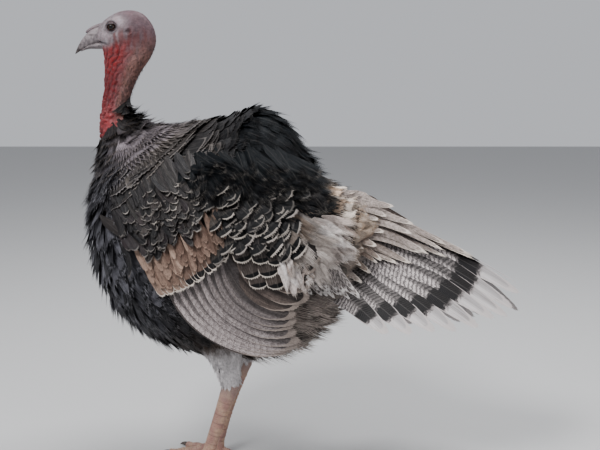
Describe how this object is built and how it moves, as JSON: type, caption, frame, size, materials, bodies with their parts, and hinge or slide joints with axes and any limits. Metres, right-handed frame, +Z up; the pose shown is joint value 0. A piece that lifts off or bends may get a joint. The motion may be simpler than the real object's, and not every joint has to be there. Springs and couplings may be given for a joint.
{
  "type": "standing domestic turkey figure",
  "caption": "Life-size still model of a bronze domestic turkey standing on both feet, neck up, wings lowered and the barred tail half fanned and drooping.",
  "frame": {"origin": "on the floor, under the middle of the whole bird's bounding box", "axes": "+Z up, -X the way the bill points, -Y the bird's left side"},
  "size_m": [0.6853, 0.3495, 0.7308],
  "materials": {
    "head_skin": "bare blue-grey skin",
    "neck_skin": "bare red skin",
    "horn": "grey horn",
    "eye": "dark glossy",
    "black_feather": "black plumage with a faint bronze sheen",
    "wing_feather": "brown and grey barred plumage",
    "tail_feather": "grey-brown barred plumage with a dark band and a pale tip",
    "shank": "pinkish grey scales"
  },
  "bodies": {
    "root": {"head": "head_skin", "neck": "neck_skin", "snood": "neck_skin", "bill_upper": "horn", "bill_lower": "horn", "eye_left": "eye", "eye_right": "eye", "torso": "black_feather", "thigh_left": "black_feather", "thigh_right": "black_feather", "wing_left": "wing_feather", "wing_right": "wing_feather", "tail": "tail_feather", "shank_left": "shank", "shank_right": "shank", "foot_left": "shank", "foot_right": "shank", "claw_middle_left": "horn", "claw_middle_right": "horn", "claw_inner_left": "horn", "claw_inner_right": "horn", "claw_outer_left": "horn", "claw_outer_right": "horn", "claw_hind_left": "horn", "claw_hind_right": "horn"}
  },
  "joints": []
}
